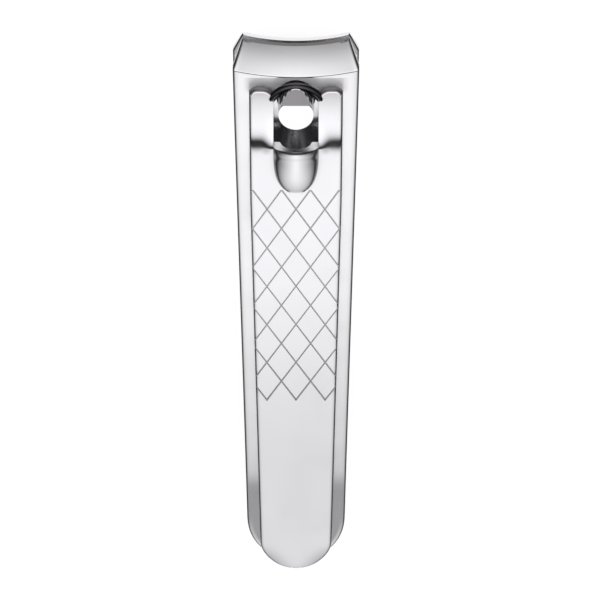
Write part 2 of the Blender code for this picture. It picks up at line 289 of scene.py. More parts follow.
def stamp(name, columns, rows, plan, height, rim, sharp_front=False):
    """Closed plate with round rims. plan and height work in millimetres from the pin's axis."""
    bpy.ops.object.select_all(action="DESELECT")
    bpy.ops.mesh.primitive_grid_add(x_subdivisions=columns, y_subdivisions=rows, size=2)
    item = bpy.context.object
    item.name = name
    bpy.ops.object.mode_set(mode="EDIT")
    bpy.ops.mesh.select_all(action="SELECT")
    bpy.ops.mesh.extrude_region_move(TRANSFORM_OT_translate={"value": (0, 0, 1)})
    leave_edit()
    edges_where(item, lambda edge: abs(edge.verts[0].co.z - edge.verts[1].co.z) > 0.5)
    bpy.ops.mesh.subdivide(number_cuts=RINGS - 1)
    leave_edit()
    for vertex in item.data.vertices:
        across, along, level = vertex.co.x, (vertex.co.y + 1) / 2, vertex.co.z
        ring = round(level * RINGS)
        step = min(ring, RINGS - ring)
        turn = math.pi / 2 * step / RIM_STEPS
        way = outward(plan, across, along, sharp_front)
        x, reach = plan(across, along)
        if way:
            x, reach = x + way.x * rim * math.sin(turn), reach + way.y * rim * math.sin(turn)
            drop = rim * (1 - math.cos(turn))
            low, high = height(x, reach, False) + drop, height(x, reach, True) - drop
            z = high if ring > RIM_STEPS else low
        else:
            z = mix(height(x, reach, False), height(x, reach, True), level)
        vertex.co = place(x, reach + bow(name, x, reach), z)
    outwards(item)
    print(name, "stamped with", len(item.data.polygons), "faces")
    return item


def outwards(item):
    select_only(item)
    bpy.ops.object.mode_set(mode="EDIT")
    bpy.ops.mesh.select_all(action="SELECT")
    bpy.ops.mesh.normals_make_consistent(inside=False)
    leave_edit()


def round_edges(item, radius, segments, test):
    """Bevel the picked edges in edit mode."""
    edges_where(item, test)
    bpy.ops.mesh.bevel(offset=radius * MM, segments=segments, profile=0.5, clamp_overlap=True)
    leave_edit()


def is_turn(edge, degrees):
    return len(edge.link_faces) == 2 and edge.calc_face_angle(0) > math.radians(degrees)


def is_rim(edge):
    """True on the sharp edges where a sheet's face meets its side."""
    return is_turn(edge, RIM_TURN)


def finish_surface(item, angle=35):
    select_only(item)
    bpy.ops.object.shade_smooth_by_angle(angle=math.radians(angle), keep_sharp_edges=True)
    apply_modifier(item, "WEIGHTED_NORMAL", keep_sharp=True, weight=60)


# %% [markdown]
# ## The outline of a leaf
# Seen from above, a leaf is a strip that gets slowly narrower from the jaws to a round tail. Its jaw
# narrows faster and ends in a hollow curve, so that it follows a fingertip. The tail is a superellipse,
# a little squarer than an ellipse.

# %% Describe the leaf's outline
SHEET = 1.3
LEAF_HALF = boxes["upper_leaf"][1].x
TAIL_HALF = 4.78
TAIL_END = boxes["upper_leaf"][0].y - pin_y
TAIL_ROUND = 4.7
TAIL_POWER = 2.3
CREASE = 2.3
EDGE = 4.7
EDGE_HALF = 5.35
CREASE_RADIUS = 28.0
EDGE_RADIUS = 22.0
BOW_START = -6.2


def leaf_half_width(reach):
    """Half of the leaf's width inside its round rims."""
    if reach > CREASE:
        return mix(LEAF_HALF, EDGE_HALF, (reach - CREASE) / (EDGE - CREASE)) - TUMBLED
    side = mix(LEAF_HALF, TAIL_HALF, (CREASE - reach) / (CREASE - TAIL_END)) - TUMBLED
    into = (TAIL_END + TAIL_ROUND - reach) / (TAIL_ROUND - TUMBLED)
    if into <= 0:
        return side
    return side * (1 - min(into, 0.9995) ** TAIL_POWER) ** (1 / TAIL_POWER)


def bow(name, x, reach):
    """A leaf's crease and cutting edge are arcs, so points beside the middle lie further forwards."""
    if reach < BOW_START or "leaf" not in name:
        return 0.0
    share = min((reach - BOW_START) / (CREASE - BOW_START), 1.0)
    nose = max((reach - CREASE) / (EDGE - CREASE), 0.0)
    return share ** 2 * mix(sagitta(CREASE_RADIUS, x), sagitta(EDGE_RADIUS, x), nose)


TAIL_SHARE = 0.18
TUMBLED = 0.26
LEAF_ROWS = ((TAIL_SHARE, TAIL_END + TAIL_ROUND), (0.62, -4.0), (0.70, CREASE - 0.4),
             (0.84, CREASE + 0.3), (1.0, EDGE))


def leaf_reach(along):
    """Rows are evenly spaced in angle round the tail, and closest together at the crease."""
    if along > TAIL_SHARE:
        return read_line(LEAF_ROWS, along)
    turn = math.radians(85) * (1 - along / TAIL_SHARE)
    return TAIL_END + TAIL_ROUND - (TAIL_ROUND - TUMBLED) * math.sin(turn)


def leaf_plan(across, along):
    reach = leaf_reach(along)
    return leaf_half_width(reach) * across, reach


print("leaf", round(2 * LEAF_HALF, 2), "mm wide at the jaws and", round(2 * TAIL_HALF, 2), "at the tail")

# %% [markdown]
# ## The side view of the leaves
# The two leaves lie flat together at the tail and spring apart towards the jaws, as a thin beam bends:
# slowly at first, then ever steeper. At the crease each one turns sharply towards the other. A sharp
# turn made of two straight lines has no radius, so the lines are blended: the square root below is
# the usual way to take the lower of two heights with a small round between them.

# %% Describe the leaves' heights
UPPER_TAIL_Z = boxes["upper_leaf"][0].z
LOWER_TAIL_Z = boxes["lower_leaf"][0].z
LOWER_FRONT_Z = 0.9
CREST_Z = boxes["upper_leaf"][1].z
EDGE_FACE = 0.75
LOWER_EDGE_Z = boxes["lower_leaf"][1].z
JAW_OPENING = 0.55
UPPER_EDGE_Z = LOWER_EDGE_Z + JAW_OPENING
INNER_CREASE = CREASE - 0.55
CREST_THICKER = 0.05
CREASE_BLEND = 0.02
BLEND_REACH = 1.5
JAW_CROWN = 0.07
SPRING_POWER = 1.25


def lower_of(first, second, blend):
    """The lower of two heights, with a round where they cross."""
    return (first + second - math.sqrt((first - second) ** 2 + 4 * blend ** 2)) / 2


def spring_line(reach, tail_z, rise, crease):
    """Height of a leaf that starts flat at the tail and has risen fully at its crease."""
    share = max((reach - spring_reach) / (crease - spring_reach), 0.0)
    return tail_z + rise * share ** SPRING_POWER


def jaw_line(reach, crease, crease_z, edge_z):
    """Straight from crease to edge, with a slight crown, towards the side that the jaw bends from."""
    share = (reach - crease) / (EDGE - crease)
    crown = JAW_CROWN * 4 * share * (1 - share)
    return mix(crease_z, edge_z, share) + math.copysign(crown, crease_z - edge_z)


def upper_leaf_z(x, reach, top):
    crease = CREASE if top else INNER_CREASE
    tail_z = UPPER_TAIL_Z + SHEET if top else UPPER_TAIL_Z
    crease_z = CREST_Z if top else CREST_Z - SHEET - CREST_THICKER
    edge_z = UPPER_EDGE_Z + EDGE_FACE if top else UPPER_EDGE_Z
    body = spring_line(reach, tail_z, crease_z - tail_z, crease)
    bent = jaw_line(reach, crease, crease_z, edge_z)
    if reach < crease - BLEND_REACH:
        return body
    return lower_of(body, bent, CREASE_BLEND)


def lower_leaf_z(x, reach, top):
    crease = INNER_CREASE if top else CREASE
    tail_z = LOWER_TAIL_Z + SHEET if top else LOWER_TAIL_Z
    crease_z = LOWER_FRONT_Z + SHEET if top else LOWER_FRONT_Z
    edge_z = LOWER_EDGE_Z if top else LOWER_EDGE_Z - EDGE_FACE
    body = spring_line(reach, tail_z, crease_z - tail_z, crease)
    bent = jaw_line(reach, crease, crease_z, edge_z)
    if reach < crease - BLEND_REACH:
        return body
    return -lower_of(-body, -bent, CREASE_BLEND)


print("jaw opening", round(UPPER_EDGE_Z - LOWER_EDGE_Z, 2), "mm")

# %% [markdown]
# ## Pressing the two leaves
# One function makes either leaf from its height rule. Its rims are round, and only the hollow cutting
# edge stays sharp. The pin's hole and the rivet's hole are drilled last.

# %% Press, tumble and drill a leaf
PIN_HOLE = 1.95
RIVET_HOLE = 0.92
DRILL_LENGTH = 30
DRILL_MIDDLE = 4
rivet_reach = (boxes["tail_rivet"][0].y + boxes["tail_rivet"][1].y) / 2 - pin_y


def drill(item, reach, radius):
    bpy.ops.object.select_all(action="DESELECT")
    bpy.ops.mesh.primitive_cylinder_add(
        vertices=96, radius=radius * MM, depth=DRILL_LENGTH * MM, location=place(0, reach, DRILL_MIDDLE))
    combine(item, bpy.context.object, "DIFFERENCE")


def press_leaf(name, height_rule):
    leaf = stamp(name, 28, 130, leaf_plan, height_rule, TUMBLED, sharp_front=True)
    drill(leaf, 0.0, PIN_HOLE)
    drill(leaf, rivet_reach, RIVET_HOLE)
    finish_surface(leaf)
    return leaf


upper_leaf = press_leaf("upper_leaf_fine", upper_leaf_z)
lower_leaf = press_leaf("lower_leaf_fine", lower_leaf_z)

# %% [markdown]
# ## The lever's outline
# The lever is a second stamping. At the front it ends in two rounded lobes with a window between them
# for the pin. Behind the window the sheet is pushed up into a half-cone, the fulcrum that presses on
# the leaf when the lever is turned over. The grid's inner columns follow the sides of the fulcrum, so
# its steep flanks run along edges and stay smooth.

# %% Describe the lever seen from above
LEVER_SHEET = 1.0
LOBE_END = 1.4
LOBE_OUTER_ROUND = 0.55
LOBE_INNER_ROUND = 1.15
LOBE_ROUND_USED = 0.95
WINDOW_HALF = 2.25
WINDOW_BACK = -3.95
KNEE = -3.6
FRONT_HALF = 4.67
WAIST = -10.4
WAIST_HALF = 4.55
TIP_HALF = 3.58
TIP_RADIUS = 3.5
TIP_END = boxes["lever"][0].y - pin_y
TIP_CENTRE = TIP_END + TIP_RADIUS
WINDOW_SHARE = 0.5
LEVER_RIM = 0.22


def lever_half_width(reach):
    """Half of the lever's width inside its round rims."""
    if reach > WAIST:
        return mix(WAIST_HALF, FRONT_HALF, (reach - WAIST) / (LOBE_END - WAIST)) - LEVER_RIM
    side = mix(WAIST_HALF, TIP_HALF, min((WAIST - reach) / (WAIST - TIP_CENTRE), 1.0)) - LEVER_RIM
    into = (TIP_CENTRE - reach) / (TIP_RADIUS - LEVER_RIM)
    return side * math.sqrt(1 - min(max(into, 0), 0.995) ** 2)


def lobe_front(x):
    """How far forwards a lobe reaches at this x: two rounded corners."""
    x = abs(x)
    inner = max(WINDOW_HALF + LOBE_INNER_ROUND - x, 0.0)
    outer = max(x - FRONT_HALF + LEVER_RIM + LOBE_OUTER_ROUND, 0.0)
    inner_drop = sagitta(LOBE_INNER_ROUND, min(inner, LOBE_ROUND_USED * LOBE_INNER_ROUND))
    outer_drop = sagitta(LOBE_OUTER_ROUND, min(outer, LOBE_ROUND_USED * LOBE_OUTER_ROUND))
    return LOBE_END - LEVER_RIM - inner_drop - outer_drop


# %% [markdown]
# ## The lever's height and its fulcrum
# From the front the lever climbs to a rounded knee and then runs down in a long, almost straight arm
# to its tip, whose rim bends down in a crescent so that it feels smooth under a thumb. The fulcrum is
# half an ellipse across, highest at its open front and running out to nothing, and the sheet beside
# its mouth is drawn up a little.

# %% Describe the lever seen from the side
BAR_DEPTH = 0.85
FRONT_Z = bar_z - BAR_DEPTH * LEVER_SHEET + LEVER_SHEET
KNEE_Z = 9.92
TIP_Z = 4.62
KNEE_BLEND = 0.26
FLARE_RISE = 0.42
FLARE_HALF = 3.6
FLARE_END = -5.4
LOBE_SAG = 0.10
ARM_SAG = 0.12
CURL_START = 1.7
CURL_DROP = 0.42
CURL_HASTE = 1.25
FULCRUM_HALF = 2.28
FULCRUM_RISE = 1.5
FULCRUM_END = -9.45
FULCRUM_SQUARENESS = 3.4
FULCRUM_FALL = 1.9
FULCRUM_WALL = 0.72
NARROWEST = 0.8
TIP_SHARE = 0.16
LOBE_START = KNEE + 1.6
LEVER_ROWS = ((TIP_SHARE, TIP_CENTRE), (0.40, -12.0), (0.44, FULCRUM_END - 0.2), (0.67, WINDOW_BACK + 0.3),
              (0.86, LOBE_START), (1.0, LOBE_END))


def lever_reach(along):
    if along > TIP_SHARE:
        return read_line(LEVER_ROWS, along)
    turn = math.radians(86) * (1 - along / TIP_SHARE)
    return TIP_CENTRE - (TIP_RADIUS - LEVER_RIM) * math.sin(turn)


def arm_line(reach):
    share = (KNEE - reach) / (KNEE - TIP_END)
    return mix(KNEE_Z, TIP_Z, share) - ARM_SAG * 4 * share * (1 - share)


def lobe_line(reach):
    share = (LOBE_END - reach) / (LOBE_END - KNEE)
    return mix(FRONT_Z, KNEE_Z, share) - LOBE_SAG * 4 * share * (1 - share)


def ease(share):
    """Smooth step from 0 to 1."""
    share = min(max(share, 0.0), 1.0)
    return share * share * (3 - 2 * share)


def curl_drop(x, reach):
    """The tip's rim bends down in a crescent that follows its round outline."""
    behind = TIP_CENTRE - reach
    out = (math.hypot(x, behind) - CURL_START) / (TIP_RADIUS - CURL_START)
    return CURL_DROP * max(out, 0.0) ** 2 * ease(behind / TIP_RADIUS * CURL_HASTE)


def flare(x, reach):
    """Beside the fulcrum's mouth the sheet is drawn up a little."""
    return FLARE_RISE * ease((FLARE_HALF - abs(x)) / (FLARE_HALF - WINDOW_HALF)) * ease(
        (reach - FLARE_END) / (WINDOW_BACK - FLARE_END))


def lever_top(x, reach):
    return lower_of(lobe_line(reach), arm_line(reach) + flare(x, reach), KNEE_BLEND) - curl_drop(x, reach)


def fulcrum_share(reach):
    return min(max((WINDOW_BACK - reach) / (WINDOW_BACK - FULCRUM_END), 0.0), 1.0)


def fulcrum_half(reach):
    return FULCRUM_HALF * math.sqrt(1 - fulcrum_share(reach) ** FULCRUM_SQUARENESS)


def fulcrum_rise(reach):
    return FULCRUM_RISE * (1 - fulcrum_share(reach) ** FULCRUM_FALL)


def is_raised(reach):
    """True where the fulcrum stands up, and a little into the window that is cut away later."""
    return FULCRUM_END < reach < WINDOW_BACK + 0.3


def lever_plan(across, along):
    """The inner half of the columns belongs to the fulcrum, the outer half to the flat sheet."""
    reach = lever_reach(along)
    half = lever_half_width(reach)
    lane = min(max(fulcrum_half(reach), NARROWEST), half)
    if abs(across) <= WINDOW_SHARE:
        x = lane * math.sin(across / WINDOW_SHARE * math.pi / 2)
    else:
        x = math.copysign(mix(lane, half, (abs(across) - WINDOW_SHARE) / (1 - WINDOW_SHARE)), across)
    if reach > LOBE_START:
        reach = mix(LOBE_START, lobe_front(x), (reach - LOBE_START) / (LOBE_END - LOBE_START))
    return x, reach


def lever_height(x, reach, top):
    z = lever_top(x, reach) - (0 if top else LEVER_SHEET)
    if not is_raised(reach):
        return z
    half, rise = fulcrum_half(reach), fulcrum_rise(reach)
    if not top:
        half, rise = half - FULCRUM_WALL, (rise + LEVER_SHEET - FULCRUM_WALL) * rise / FULCRUM_RISE
    if abs(x) < half:
        z += rise * math.sqrt(1 - (x / half) ** 2)
    return z


# %% [markdown]
# ## Pressing the lever
# The blank is stamped whole. Its window is cut later, because a closed plain blank is the safest thing
# to roll a grip into.

# %% Press the lever's blank
lever = stamp("lever_fine", 48, 150, lever_plan, lever_height, LEVER_RIM)
lever.data.materials.append(bpy.data.materials.new("lever_polish"))
print("lever's blank has", len(lever.data.polygons), "faces")

# %% [markdown]
# ## The diamond grip
# The grip is a net of shallow V-shaped grooves, rolled into the arm with a die. Each groove is cut by
# a long four-sided bar laid on one of its corners. The bars follow from the pitch of the net: a
# family leaning right and a family leaning left, all ending on the same two rows, which gives the
# zigzag ends. The bars carry their own material, and the Boolean passes it on to the groove's walls.

# %% Lay the groove bars and cut the grip
GRIP_START = -9.07
GRIP_ROWS = 11
GRIP_STEP = 2.22
GRIP_HALF_PITCH = 1.445
GROOVE_DEPTH = 0.085
GROOVE_BAR = 0.17
GRIP_SIDE = 5.0
GRIP_LINES = range(-4, 12)
SHORTEST_LINE = 0.3

groove_wall = bpy.data.materials.new("groove_wall")
grip_fall = arm_line(GRIP_START) - arm_line(GRIP_START - GRIP_ROWS * GRIP_STEP)
arm_normal = Vector((0, -grip_fall / (GRIP_ROWS * GRIP_STEP), 1)).normalized()


def groove_bar(start, end):
    """Four-sided bar from start to end, with one corner pointing into the arm."""
    along = (end - start).normalized()
    turn = Matrix((-arm_normal, along.cross(-arm_normal), along)).transposed()
    middle = (start + end) / 2 + arm_normal * (GROOVE_BAR - GROOVE_DEPTH) * MM
    bpy.ops.mesh.primitive_cylinder_add(
        vertices=4, radius=GROOVE_BAR * MM, depth=(end - start).length, location=middle,
        rotation=turn.to_euler())
    bar = bpy.context.object
    bar.data.materials.append(groove_wall)
    return bar


def grip_point(x, row):
    reach = GRIP_START - GRIP_STEP * row
    return place(x, reach, lever_top(x, reach))


def groove_family(lean):
    """Parallel grooves, each from where it enters the grip to where it leaves it."""
    bars = []
    for number in GRIP_LINES:
        first_x = (3 - 2 * number) * math.copysign(GRIP_HALF_PITCH, lean)
        rows = sorted(((-GRIP_SIDE - first_x) / lean, (GRIP_SIDE - first_x) / lean))
        first, last = max(rows[0], 0), min(rows[1], GRIP_ROWS)
        if last - first > SHORTEST_LINE:
            start, end = grip_point(first_x + lean * first, first), grip_point(first_x + lean * last, last)
            bars.append(groove_bar(start, end))
    for bar in bars:
        bar.select_set(True)
    bpy.ops.object.join()
    bpy.ops.object.transform_apply(location=True, rotation=True, scale=True)
    print("family of", len(bars), "grooves leaning", lean)
    return bpy.context.object


for lean in (GRIP_HALF_PITCH, -GRIP_HALF_PITCH):
    bpy.ops.object.select_all(action="DESELECT")
    combine(lever, groove_family(lean), "DIFFERENCE", material_mode="TRANSFER")
print("lever has", len(lever.data.polygons), "faces with its grip")

# %% [markdown]
# ## The window
# A square punch cuts the window around the pin: a box and a Boolean difference.

# %% Punch the window


def box_cutter(low, high):
    """Box between two corners, to be used up by a Boolean."""
    bpy.ops.object.select_all(action="DESELECT")
    bpy.ops.mesh.primitive_cube_add(size=1, location=(low + high) / 2)
    cutter = bpy.context.object
    cutter.scale = high - low
    return cutter


punch_low = place(-WINDOW_HALF, WINDOW_BACK, CREST_Z)
combine(lever, box_cutter(punch_low, place(WINDOW_HALF, LOBE_END + 1, KNEE_Z + 3)), "DIFFERENCE")
print("lever has", len(lever.data.polygons), "faces after its window is cut")

# %% [markdown]
# ## The crossbar
# Between the lobes a round bar bends forwards and hooks into the pin's notch. A torus is already a
# bent round bar, so one is added about the bend's centre, and a bisect with fill keeps only its front
# arc. A Boolean union then grows it into the two lobes.

# %% Bend the crossbar
BAR_RADIUS = 0.45
BAR_BEND = 3.1
BAR_HALF_SPAN = 2.6

bpy.ops.object.select_all(action="DESELECT")
bpy.ops.mesh.primitive_torus_add(
    major_segments=160, minor_segments=32, major_radius=BAR_BEND * MM, minor_radius=BAR_RADIUS * MM,
    location=place(0, bar_reach - BAR_BEND, bar_z))
crossbar = bpy.context.object
bpy.ops.object.transform_apply(location=True, rotation=True, scale=True)
bpy.ops.object.mode_set(mode="EDIT")
bpy.ops.mesh.select_all(action="SELECT")
cut_reach = bar_reach - sagitta(BAR_BEND, BAR_HALF_SPAN)
bpy.ops.mesh.bisect(plane_co=place(0, cut_reach, bar_z), plane_no=(0, -1, 0), use_fill=True, clear_outer=True)
leave_edit()
outwards(crossbar)
# Painted shade: the bar takes a near-black steel for its dark reflections and shade.
crossbar.data.materials.append(bpy.data.materials.new("shaded_hook_bar"))
combine(lever, crossbar, "UNION", material_mode="TRANSFER")
finish_surface(lever)
print("crossbar spans", round(2 * BAR_HALF_SPAN, 1), "mm")

# %% [markdown]
# ## The pin
# The pin is turned on a lathe: a wide thin foot, then a plain post. A cylinder is the foot. Its top
# face is inset to the post's size and extruded to full height, which is how a person would model it.
# A mill then takes the notch for the crossbar out of its front and planes the top at a slight slant. A
# slanted facet above the notch gives the bar room to swing; it keeps the duller steel of the mill, darkened
# as painted shade.

# %% Turn the pin
PIN_RADIUS = 1.75
FOOT_RADIUS = 3.1
FOOT_HEIGHT = 0.8
NOTCH_HALF = 0.7
NOTCH_BACK = 0.55
FACET_DEPTH = 0.75
TOP_FALL = 0.34
FACET_LIP = 0.15
HEAD_CLEAR = 0.3
HEAD_ROUND = 0.2
MILL_SIZE = 6
FOOT_RIM = 0.14
pin_top = boxes["pivot_pin"][1].z


def faces_where(item, test):
    select_only(item)
    bpy.ops.object.mode_set(mode="EDIT")
    bpy.ops.mesh.select_mode(type="FACE")
    bpy.ops.mesh.select_all(action="DESELECT")
    mesh = bmesh.from_edit_mesh(item.data)
    for face in mesh.faces:
        face.select_set(test(face))
    bmesh.update_edit_mesh(item.data)


def disc(name, radius, height, reach, low_z, sides=128):
    """Short cylinder standing on low_z, with its place in its mesh."""
    bpy.ops.object.select_all(action="DESELECT")
    middle = place(0, reach, low_z + height / 2)
    bpy.ops.mesh.primitive_cylinder_add(
        vertices=sides, radius=radius * MM, depth=height * MM, location=middle)
    item = bpy.context.object
    item.name = name
    bpy.ops.object.transform_apply(location=True, rotation=True, scale=True)
    return item


def raise_top(item, inward, upward):
    """Inset the highest face and pull it up."""
    top = max(vertex.co.z for vertex in item.data.vertices)
    faces_where(item, lambda face: face.calc_center_median().z > top - 0.001 * MM and face.normal.z > 0.9)
    bpy.ops.mesh.inset(thickness=inward * MM)
    bpy.ops.mesh.extrude_region_move(TRANSFORM_OT_translate={"value": (0, 0, upward * MM)})
    leave_edit()


pin = disc("pivot_pin_fine", FOOT_RADIUS, FOOT_HEIGHT, 0.0, 0.0)
pin.data.materials.append(bpy.data.materials.new("plated_pin"))
raise_top(pin, FOOT_RADIUS - PIN_RADIUS, pin_top - FOOT_HEIGHT)
round_edges(pin, FOOT_RIM, 3, is_rim)

notch_low = place(-2 * PIN_RADIUS, NOTCH_BACK, bar_z - NOTCH_HALF)
combine(pin, box_cutter(notch_low, place(2 * PIN_RADIUS, 2 * PIN_RADIUS, bar_z + NOTCH_HALF)), "DIFFERENCE")


def mill_away(item, first, second, finish):
    """Remove all that lies outside the plane through two places and the x direction."""
    normal = (second - first).cross(Vector((1, 0, 0))).normalized()
    bpy.ops.object.select_all(action="DESELECT")
    bpy.ops.mesh.primitive_cube_add(size=MILL_SIZE * MM)
    mill = bpy.context.object
    mill.rotation_euler = normal.to_track_quat("Z", "X").to_euler()
    mill.location = first + normal * MILL_SIZE / 2 * MM
    mill.data.materials.append(finish)
    combine(item, mill, "DIFFERENCE", material_mode="TRANSFER")
    print("milled with normal", [round(part, 2) for part in normal])


facet_top = place(0, PIN_RADIUS - FACET_DEPTH, pin_top)
# Painted shade: the facet's milled steel is darkened for the dark reflection on it.
shaded_milled_face = bpy.data.materials.new("shaded_milled_face")
mill_away(pin, facet_top, place(0, -PIN_RADIUS, pin_top - TOP_FALL), pin.data.materials[0])
mill_away(pin, place(0, PIN_RADIUS, bar_z + NOTCH_HALF + FACET_LIP), facet_top, shaded_milled_face)
head_z = place(0, 0, bar_z + NOTCH_HALF + HEAD_CLEAR).z


def is_head_rim(edge):
    return is_turn(edge, 20) and min(vertex.co.z for vertex in edge.verts) > head_z


round_edges(pin, HEAD_ROUND, 4, is_head_rim)
finish_surface(pin, 30)
print("pin", round(pin_top, 2), "mm tall")

# %% [markdown]
# ## The rivet
# One small rivet holds the leaves together at the tail. Its two heads are flat discs with rounded rims.
# It is made like the pin: a disc, an inset, a pull upwards for the shank, and an outset for the head.

# %% Set the tail rivet
rivet_box = boxes["tail_rivet"]
RIVET_HEAD = rivet_box[1].x
RIVET_SHANK = 0.8
RIVET_HEAD_HEIGHT = 0.3
RIVET_RIM = 0.1
rivet = disc("tail_rivet_fine", RIVET_HEAD, RIVET_HEAD_HEIGHT, rivet_reach, 0.0, 64)
raise_top(rivet, RIVET_HEAD - RIVET_SHANK, rivet_box[1].z - 2 * RIVET_HEAD_HEIGHT)
raise_top(rivet, RIVET_SHANK - RIVET_HEAD, RIVET_HEAD_HEIGHT)
round_edges(rivet, RIVET_RIM, 3, is_rim)
finish_surface(rivet, 30)

# %% [markdown]
# ## Shared effects
# Even polished steel isn't perfect. Polishing leaves a fine grain along the sheet, and fingers leave
# broad smudges. Two groups paint shade into the colour: painted shade where two pieces nearly touch,
# and painted shade that darkens the steel towards the tail. Each effect is a node group with named
# inputs, built once and used by every steel with its own values.

# %% Build the shared shader groups


def new_group(name, inputs, outputs):
    """Empty shader group with float or colour sockets, and its input and output nodes."""
    group = bpy.data.node_groups.new(name, "ShaderNodeTree")
    for label, kind, value in inputs:
        socket = group.interface.new_socket(label, in_out="INPUT", socket_type=kind)
        socket.default_value = value
    for label, kind in outputs:
        group.interface.new_socket(label, in_out="OUTPUT", socket_type=kind)
    return group, add(group, "NodeGroupInput"), add(group, "NodeGroupOutput")


FLOAT = "NodeSocketFloat"
COLOUR = "NodeSocketColor"

polish_grain, grain_in, grain_out = new_group(
    "polish_grain", [("Grain size", FLOAT, 9000.0), ("Stretch", FLOAT, 0.03)], [("Height", FLOAT)])
coords = add(polish_grain, "ShaderNodeTexCoord")
squeeze = add(polish_grain, "ShaderNodeCombineXYZ", in_X=1.0, in_Z=1.0)
link(polish_grain, grain_in.outputs["Stretch"], squeeze.inputs["Y"])
stretched = add(polish_grain, "ShaderNodeVectorMath", operation="MULTIPLY")
link(polish_grain, coords.outputs["Object"], stretched.inputs[0])
link(polish_grain, squeeze.outputs[0], stretched.inputs[1])
grain_noise = add(polish_grain, "ShaderNodeTexNoise", in_Detail=4.0, in_Roughness=0.6)
link(polish_grain, stretched.outputs[0], grain_noise.inputs["Vector"])
link(polish_grain, grain_in.outputs["Grain size"], grain_noise.inputs["Scale"])
link(polish_grain, grain_noise.outputs[0], grain_out.inputs["Height"])

smudges, smudge_in, smudge_out = new_group(
    "finger_smudges",
    [("Size", FLOAT, 160.0), ("Clean roughness", FLOAT, 0.16), ("Smudged roughness", FLOAT, 0.26)],
    [("Roughness", FLOAT)])
coords = add(smudges, "ShaderNodeTexCoord")
smudge_noise = add(smudges, "ShaderNodeTexNoise", in_Detail=3.0, in_Distortion=0.6)
link(smudges, coords.outputs["Object"], smudge_noise.inputs["Vector"])
link(smudges, smudge_in.outputs["Size"], smudge_noise.inputs["Scale"])
smudge_range = add(smudges, "ShaderNodeMapRange", in_1=0.38, in_2=0.72)
link(smudges, smudge_noise.outputs[0], smudge_range.inputs[0])
link(smudges, smudge_in.outputs["Clean roughness"], smudge_range.inputs[3])
link(smudges, smudge_in.outputs["Smudged roughness"], smudge_range.inputs[4])
link(smudges, smudge_range.outputs[0], smudge_out.inputs["Roughness"])

# Painted shade: this group darkens the colour where ambient occlusion finds other surfaces close by, standing
# in for the shade where pieces nearly touch.
crevice_shade, crevice_shade_in, crevice_shade_out = new_group(
    "crevice_painted_shade", [("Steel", COLOUR, (0.8, 0.8, 0.8, 1)), ("Shade colour", COLOUR, (0.2, 0.19, 0.19, 1)),
                      ("Reach", FLOAT, 0.0006), ("Amount", FLOAT, 0.6)], [("Colour", COLOUR)])
crevice = add(crevice_shade, "ShaderNodeAmbientOcclusion", samples=8)
link(crevice_shade, crevice_shade_in.outputs["Reach"], crevice.inputs["Distance"])
dark = math_node(crevice_shade, "SUBTRACT", 1.0, crevice.outputs["AO"])
dark = math_node(crevice_shade, "MULTIPLY", dark, crevice_shade_in.outputs["Amount"])
blend = add(crevice_shade, "ShaderNodeMix", data_type="RGBA")
link(crevice_shade, dark, blend.inputs["Factor"])
link(crevice_shade, crevice_shade_in.outputs["Steel"], blend.inputs["A"])
link(crevice_shade, crevice_shade_in.outputs["Shade colour"], blend.inputs["B"])
link(crevice_shade, blend.outputs["Result"], crevice_shade_out.inputs["Colour"])

# Painted shade: this group darkens the colour smoothly from the front towards the tail, standing in for the
# dimmer reflections there.
TAIL_SHADE_START = -12
TAIL_SHADE_END = -41
tail_shade, tail_shade_in, tail_shade_out = new_group(
    "painted_tail_shade",
    [("New", COLOUR, (0.8, 0.8, 0.8, 1)), ("Shaded", COLOUR, (0.6, 0.6, 0.6, 1)),
     ("Start", FLOAT, place(0, TAIL_SHADE_START, 0).y), ("End", FLOAT, place(0, TAIL_SHADE_END, 0).y)],
    [("Colour", COLOUR)])
coords = add(tail_shade, "ShaderNodeTexCoord")
split = add(tail_shade, "ShaderNodeSeparateXYZ")
link(tail_shade, coords.outputs["Object"], split.inputs[0])
share = add(tail_shade, "ShaderNodeMapRange", interpolation_type="SMOOTHSTEP", in_3=0.0, in_4=1.0)
link(tail_shade, split.outputs["Y"], share.inputs[0])
link(tail_shade, tail_shade_in.outputs["Start"], share.inputs[1])
link(tail_shade, tail_shade_in.outputs["End"], share.inputs[2])
tail_shaded = add(tail_shade, "ShaderNodeMix", data_type="RGBA")
link(tail_shade, share.outputs[0], tail_shaded.inputs["Factor"])
link(tail_shade, tail_shade_in.outputs["New"], tail_shaded.inputs["A"])
link(tail_shade, tail_shade_in.outputs["Shaded"], tail_shaded.inputs["B"])
link(tail_shade, tail_shaded.outputs["Result"], tail_shade_out.inputs["Colour"])
print("groups:", ", ".join(group.name for group in (polish_grain, smudges, crevice_shade, tail_shade)))

# %% [markdown]
# ## The steels
# All pieces are stainless steel, so one function builds every finish: a metal whose colour, roughness
# and fine bump come from the four groups, two of which paint shade into the colour. Leaves and lever
# are polished and the pin is plated. Faces that a tool has cut, ground, milled or blanked are duller,
# and their darker colour is painted shade; the crossbar's near-black colour is painted shade too, and
# the walls of the rolled grooves are matt.

# %% Make the steels


